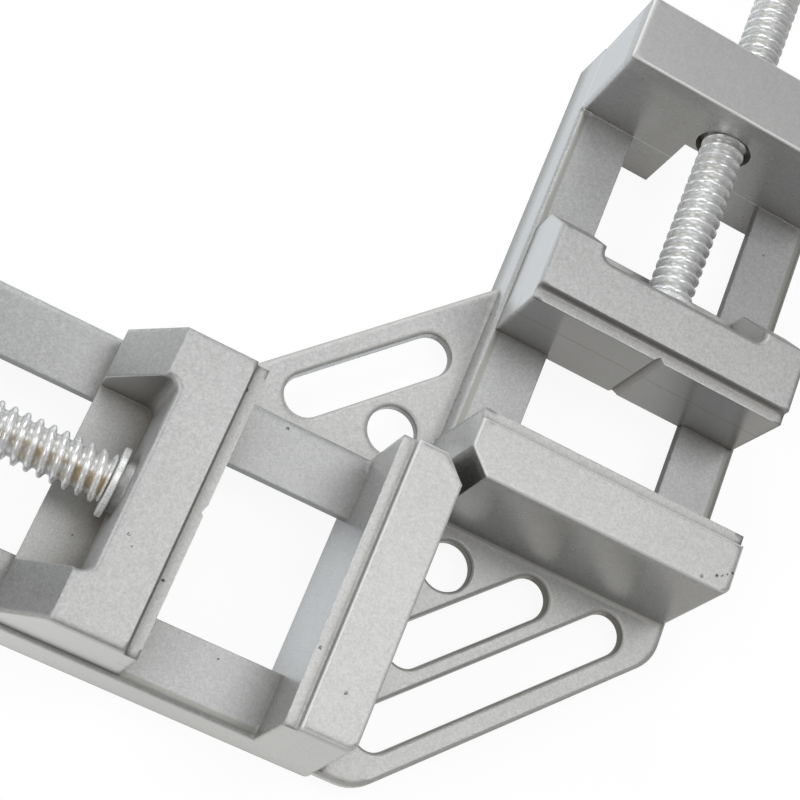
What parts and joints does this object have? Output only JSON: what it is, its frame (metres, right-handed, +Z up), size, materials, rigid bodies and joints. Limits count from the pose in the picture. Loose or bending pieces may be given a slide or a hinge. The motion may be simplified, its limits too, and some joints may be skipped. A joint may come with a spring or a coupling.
{
  "type": "corner clamp",
  "caption": "Die-cast right-angle corner clamp with fixed jaws, sliding jaws on railed arms, threaded spindles with bar handles, and a slotted corner web.",
  "frame": {"origin": "the point on the bench plane under the corner where the planes of the two fixed clamping faces cross", "axes": "+Z up from the bench; the left arm runs along -X and the right arm along +Y; the arms mirror each other in the plane x + y = 0"},
  "size_m": [0.2823, 0.2798, 0.0476],
  "materials": {
    "cast_body": "die-cast, blasted matte",
    "cast_jaw": "die-cast, blasted matte",
    "screw": "zinc plated, rolled thread",
    "nut": "turned",
    "washer": "zinc plated",
    "pin": "ground",
    "keeper": "zinc plated sheet",
    "keeper_screw": "zinc plated",
    "hub": "turned and zinc plated",
    "hub_pin": "ground",
    "bar": "zinc plated",
    "cap": "moulded"
  },
  "bodies": {
    "frame": {"body_casting": "cast_body", "spindle_nut_left": "nut", "spindle_nut_right": "nut"},
    "jaw_left": {"moving_jaw_left": "cast_jaw", "thrust_washer_left": "washer", "retaining_pin_left": "pin", "keeper_plate_left": "keeper", "keeper_screws_left": "keeper_screw"},
    "screw_left": {"spindle_left": "screw", "handle_hub_left": "hub", "hub_pin_left": "hub_pin"},
    "bar_left": {"tommy_bar_left": "bar", "bar_cap_outer_left": "cap", "bar_cap_inner_left": "cap"},
    "jaw_right": {"moving_jaw_right": "cast_jaw", "thrust_washer_right": "washer", "retaining_pin_right": "pin", "keeper_plate_right": "keeper", "keeper_screws_right": "keeper_screw"},
    "screw_right": {"spindle_right": "screw", "handle_hub_right": "hub", "hub_pin_right": "hub_pin"},
    "bar_right": {"tommy_bar_right": "bar", "bar_cap_outer_right": "cap", "bar_cap_inner_right": "cap"}
  },
  "joints": [
    {"name": "jaw_left_slide", "type": "slide", "parent": "frame", "child": "jaw_left", "axis": [1, 0, 0], "range_m": [-0.0344, 0.0337]},
    {"name": "screw_left_turn", "type": "hinge", "parent": "jaw_left", "child": "screw_left", "pos_m": [-0.0505, -0.0513, 0.0314], "axis": [1, 0, 0], "range_deg": [-4104, 4020]},
    {"name": "bar_left_slide", "type": "slide", "parent": "screw_left", "child": "bar_left", "axis": [0, 1, 0], "range_m": [-0.026, 0.026]},
    {"name": "jaw_right_slide", "type": "slide", "parent": "frame", "child": "jaw_right", "axis": [0, -1, 0], "range_m": [-0.0369, 0.0312]},
    {"name": "screw_right_turn", "type": "hinge", "parent": "jaw_right", "child": "screw_right", "pos_m": [0.0513, 0.048, 0.0314], "axis": [0, -1, 0], "range_deg": [-4404, 3720]},
    {"name": "bar_right_slide", "type": "slide", "parent": "screw_right", "child": "bar_right", "axis": [1, 0, 0], "range_m": [-0.026, 0.026]}
  ],
  "couplings": [
    {"joint": "jaw_left_slide", "follows": "screw_left_turn", "m_per_rad": 0.00047746},
    {"joint": "jaw_right_slide", "follows": "screw_right_turn", "m_per_rad": 0.00047746}
  ]
}
